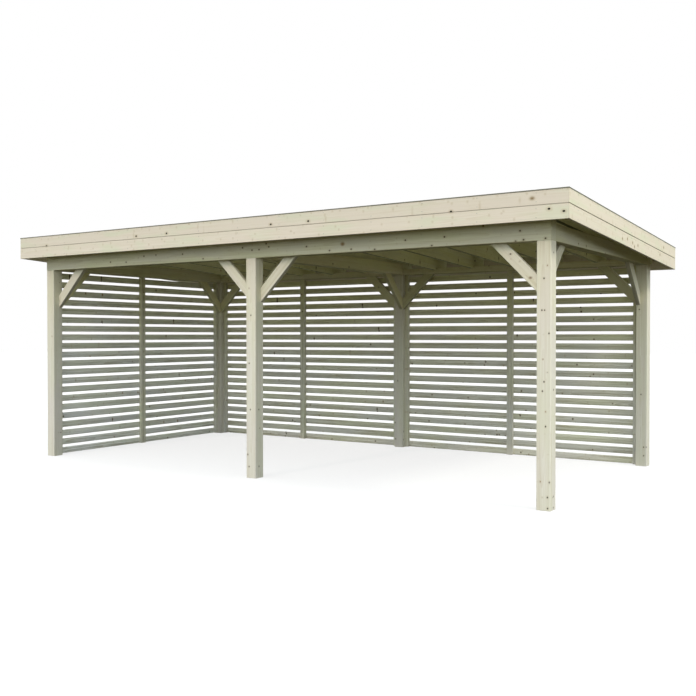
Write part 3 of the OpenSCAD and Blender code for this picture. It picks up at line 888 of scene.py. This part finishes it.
shape = bmesh.new()
fromLap = shape.verts.layers.float.new("fromLap")  # distance from the sheet's lower edge
back = high.y  # the sheet's lower edge, since the roof falls to the back
while back > low.y:
    front = max(back - felt["sheet"], low.y)
    columns = felt["alongCells"] + 1
    grid = []
    for lowerFace in (False, True):
        for across in range(felt["acrossCells"] + 1):
            share = across / felt["acrossCells"]
            y = back + (front - back) * share
            lift = max(0.0, 1 - share * felt["sheet"] / felt["lap"]) if back < high.y else 0.0
            for along in range(columns):
                x = low.x + (high.x - low.x) * along / felt["alongCells"]
                drop = coverThick / 2 * felt["thickShare"] if lowerFace else 0.0
                grid.append(shape.verts.new((x, y, feltHeight(x, y, lift) - drop)))
                grid[-1][fromLap] = back - y
    count = columns * (felt["acrossCells"] + 1)
    for across in range(felt["acrossCells"]):
        for along in range(felt["alongCells"]):
            a = across * columns + along
            corner = (a, a + 1, a + 1 + columns, a + columns)
            shape.faces.new([grid[i] for i in corner])
            shape.faces.new([grid[count + i] for i in reversed(corner)])
    rim = ([i for i in range(columns)]
           + [columns * row + columns - 1 for row in range(1, felt["acrossCells"] + 1)]
           + [columns * felt["acrossCells"] + i for i in range(columns - 2, -1, -1)]
           + [columns * row for row in range(felt["acrossCells"] - 1, 0, -1)])
    for one, two in zip(rim, rim[1:] + rim[:1]):
        shape.faces.new([grid[one], grid[two], grid[count + two], grid[count + one]])
    back = front + felt["lap"] if front > low.y else low.y
bmesh.ops.recalc_face_normals(shape, faces=shape.faces[:])
feltMesh = keepShape(shape, "felt_sheets", roofFelt, "roofing_felt", felt["node"])
print("felt laid, faces", len(feltMesh.polygons))


# Countersunk screws: slats to stiles, fascia to rafters
screws = {
    "headRadius": 4 * mm,
    "headDepth": 1.2 * mm,
    "headSides": 12,
    "topShare": 0.86,  # of the head's radius
    "driveShare": 0.55,  # of the top
    "driveDepth": 0.8,  # of the head's depth
    "proud": 0.5 * mm,
    "slatInset": 18 * mm,
    "fasciaInset": 24 * mm,
    "fasciaHeight": 117 * mm,
    "endStep": 0.5,  # along the fascia of each end
    "endStepsEachSide": 3,
    "stileDigits": 4,  # edges of a stile are told apart to a tenth of a millimetre
}


def screwTree():
    tree, inputs = newTree("screw_heads", {
        "headRadius": "Float", "headDepth": "Float", "material": "Material"})
    topRadius = addNode(tree, "ShaderNodeMath", {
        0: inputs["headRadius"], 1: screws["topShare"]}, operation="MULTIPLY")
    cone = addNode(tree, "GeometryNodeMeshCone", {
        "Vertices": screws["headSides"], "Radius Top": topRadius, "Radius Bottom": inputs["headRadius"],
        "Depth": inputs["headDepth"]}).node.outputs
    raised = addNode(tree, "GeometryNodeExtrudeMesh", {
        "Mesh": cone["Mesh"], "Selection": cone["Top"], "Offset Scale": 0.0}, mode="FACES").node.outputs
    socket = addNode(tree, "GeometryNodeScaleElements", {
        "Geometry": raised["Mesh"], "Selection": raised["Top"], "Scale": screws["driveShare"]})
    sink = addNode(tree, "ShaderNodeMath", {
        0: inputs["headDepth"], 1: -screws["driveDepth"]}, operation="MULTIPLY")
    drive = addNode(tree, "GeometryNodeExtrudeMesh", {
        "Mesh": socket, "Selection": raised["Top"], "Offset Scale": sink}, mode="FACES").node.outputs
    aim = addNode(tree, "GeometryNodeInputNamedAttribute", {"Name": "aim"}, data_type="FLOAT_VECTOR")
    turned = addNode(tree, "FunctionNodeAlignRotationToVector", {"Vector": aim}, axis="Z")
    heads = addNode(tree, "GeometryNodeInstanceOnPoints", {
        "Points": inputs["Geometry"], "Instance": drive["Mesh"], "Rotation": turned})
    solid = addNode(tree, "GeometryNodeRealizeInstances", {"Geometry": heads})
    covered = addNode(tree, "GeometryNodeSetMaterial", {"Geometry": solid, "Material": inputs["material"]})
    addNode(tree, "NodeGroupOutput", {0: covered})
    return tree


screwPlaces = []


def addScrew(place, aim):  # the head stands a little proud of the face
    sunk = screws["headDepth"] - screws["proud"]
    screwPlaces.append((Vector(place) - Vector(aim) * sunk, Vector(aim)))


for node in screens["nodes"]:
    low, high, lengthwise, rows = screenLayout(node)
    outward = Vector((0, 1, 0)) if lengthwise == 0 else Vector((-1, 0, 0))
    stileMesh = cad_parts[node.replace("_slats", "_stiles")].data
    edges = sorted({round(vert.co[lengthwise], screws["stileDigits"]) for vert in stileMesh.vertices})
    for at in [(one + two) / 2 for one, two in zip(edges[::2], edges[1::2])]:
        for row in range(rows):
            base = low.z + row * screens["pitch"]
            for height in (screws["slatInset"], screens["height"] - screws["slatInset"]):
                x, y = (at, high.y) if lengthwise == 0 else (low.x, at)
                addScrew((x, y, base + height), outward)
for side in sides:
    for row in ("upper", "lower"):
        low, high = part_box(side + "_fascia_" + row)
        if side in ("front", "rear"):
            face = low.y if side == "front" else high.y
            outward = Vector((0, -1 if side == "front" else 1, 0))
            for x in rafterPlaces:
                for height in (screws["fasciaInset"], screws["fasciaHeight"] - screws["fasciaInset"]):
                    addScrew((x, face, low.z + height), outward)
        else:
            face = low.x if side == "left" else high.x
            outward = Vector((-1 if side == "left" else 1, 0, 0))
            rise = (high.y - low.y) * fall
            for step in range(-screws["endStepsEachSide"], screws["endStepsEachSide"] + 1):
                y = step * screws["endStep"]
                for height in (low.z + rise + screws["fasciaInset"], high.z - screws["fasciaInset"]):
                    addScrew((face, y, height - fall * (y - low.y)), outward)
startMesh = bpy.data.meshes.new("screw_places")
startMesh.from_pydata([place for place, aim in screwPlaces], [], [])
aims = startMesh.attributes.new("aim", "FLOAT_VECTOR", "POINT")
aims.data.foreach_set("vector", [value for place, aim in screwPlaces for value in aim])
screwPiece = growPiece("fixing_screws", screwTree(), dict(screws, material=screwZinc), startMesh)
seat(screwPiece, None)
print("screws set:", len(screwPlaces))


# Studio: pale floor, sky light from all round, a side light from the right and a front light
studio = {
    "floorHalf": 60.0,
    "floorSeen": "#FFFFFF",
    "floorBounce": "#4D4A39",  # how the floor colours the light that it sends up under the roof
    "floorGlow": 0.75,
    "skyColour": (0.92, 1.005, 1.02),
    "skyLevel": 1.52,
    "skyRight": 0.1,  # how much brighter the sky is low on the right
    "skyDim": -0.25,  # and how much dimmer half way up there
    "skyBack": -0.35,  # and how much dimmer behind
    "sidePlace": (13.5, -1.45, 13.6),
    "sideAim": (3.0, 0.0, 1.2),
    "sideSize": 2.7,
    "sideColour": (1.0, 0.975, 0.86),
    "sidePower": 1290.0,
    "frontFrom": (-0.1, -1.0, 0.71),
    "frontLevel": 0.735,
    "frontColour": (1.0, 0.83, 0.79),
    "frontWidth": math.radians(4),
}


def seenDirectly(tree):  # 1 for what the camera, a mirror or glass shows
    rays = addNode(tree, "ShaderNodeLightPath").node.outputs
    mirrored = addNode(tree, "ShaderNodeMath", {
        0: rays["Is Camera Ray"], 1: rays["Is Glossy Ray"]}, operation="MAXIMUM")
    return addNode(tree, "ShaderNodeMath", {0: mirrored, 1: rays["Is Transmission Ray"]}, operation="MAXIMUM")


floorMaterial, tree = newMaterial("studio_floor")
paper = addNode(tree, "ShaderNodeBsdfDiffuse", {"Color": toLinear(studio["floorSeen"])})
glow = addNode(tree, "ShaderNodeEmission", {"Color": toLinear(studio["floorSeen"]), "Strength": 1.0})
seen = addNode(tree, "ShaderNodeMixShader", {0: studio["floorGlow"], 1: paper, 2: glow})
bounce = addNode(tree, "ShaderNodeBsdfDiffuse", {"Color": toLinear(studio["floorBounce"])})
floorShader = addNode(tree, "ShaderNodeMixShader", {0: seenDirectly(tree), 1: bounce, 2: seen})
addNode(tree, "ShaderNodeOutputMaterial", {0: floorShader})
half = studio["floorHalf"]
floorMesh = bpy.data.meshes.new("studio_floor")
floorCorners = [(-half, -half, 0), (half, -half, 0), (half, half, 0), (-half, half, 0)]
floorMesh.from_pydata(floorCorners, [], [(0, 1, 2, 3)])
floorMesh.materials.append(floorMaterial)
addPiece("studio_floor", floorMesh)

world = bpy.data.worlds.new("studio_sky")
bpy.context.scene.world = world
world.use_nodes = True
skyTree = world.node_tree
skyTree.nodes.clear()
white = addNode(skyTree, "ShaderNodeBackground", {"Color": (1, 1, 1, 1), "Strength": 1.0})
toSky = addNode(skyTree, "ShaderNodeTexCoord", out="Generated")
rightward, backward, upward = addNode(skyTree, "ShaderNodeSeparateXYZ", {0: toSky}).node.outputs
slant = addNode(skyTree, "ShaderNodeMath", {0: rightward, 1: upward}, operation="MULTIPLY")
skyLevel = studio["skyLevel"]
# right times up is a half at most
for way, most, change in ((rightward, 1.0, "skyRight"), (slant, 0.5, "skyDim"), (backward, 1.0, "skyBack")):
    share = addNode(skyTree, "ShaderNodeMapRange", {
        "Value": way, "From Max": most, "To Min": 1.0, "To Max": 1 + studio[change]})
    skyLevel = addNode(skyTree, "ShaderNodeMath", {0: skyLevel, 1: share}, operation="MULTIPLY")
sky = addNode(skyTree, "ShaderNodeBackground", {"Color": (*studio["skyColour"], 1.0), "Strength": skyLevel})
backdrop = addNode(skyTree, "ShaderNodeMixShader", {0: seenDirectly(skyTree), 1: sky, 2: white})
addNode(skyTree, "ShaderNodeOutputWorld", {0: backdrop})

sideLight = bpy.data.lights.new("side_light", "AREA")
sideLight.size = studio["sideSize"]
sideLight.energy = studio["sidePower"]
sideLight.color = studio["sideColour"]
sideLamp = addPiece("side_light", sideLight)
sideLamp.location = studio["sidePlace"]
toSide = Vector(studio["sideAim"]) - Vector(studio["sidePlace"])
sideLamp.rotation_euler = toSide.to_track_quat("-Z", "Y").to_euler()

frontLight = bpy.data.lights.new("front_light", "SUN")
frontLight.energy = studio["frontLevel"]
frontLight.color = studio["frontColour"]
frontLight.angle = studio["frontWidth"]
frontLamp = addPiece("front_light", frontLight)
frontLamp.rotation_euler = Vector(studio["frontFrom"]).to_track_quat("Z", "Y").to_euler()

viewpoint = {
    "place": (5.532, -8.284, 1.395),
    "pitch": math.radians(89.2215),
    "yaw": math.radians(33.01),
    "focalPixels": 887.65,  # fitted to the post corners
    "framePixels": 696,
    "sensor": 36.0,
}
camera = bpy.data.cameras.new("camera")
camera.sensor_width = viewpoint["sensor"]
camera.lens = viewpoint["focalPixels"] / viewpoint["framePixels"] * viewpoint["sensor"]
cameraPiece = addPiece("camera", camera)
cameraPiece.location = viewpoint["place"]
cameraPiece.rotation_euler = (viewpoint["pitch"], 0, viewpoint["yaw"])
bpy.context.scene.camera = cameraPiece
bpy.context.scene.view_settings.view_transform = "Standard"
print("studio and camera set")
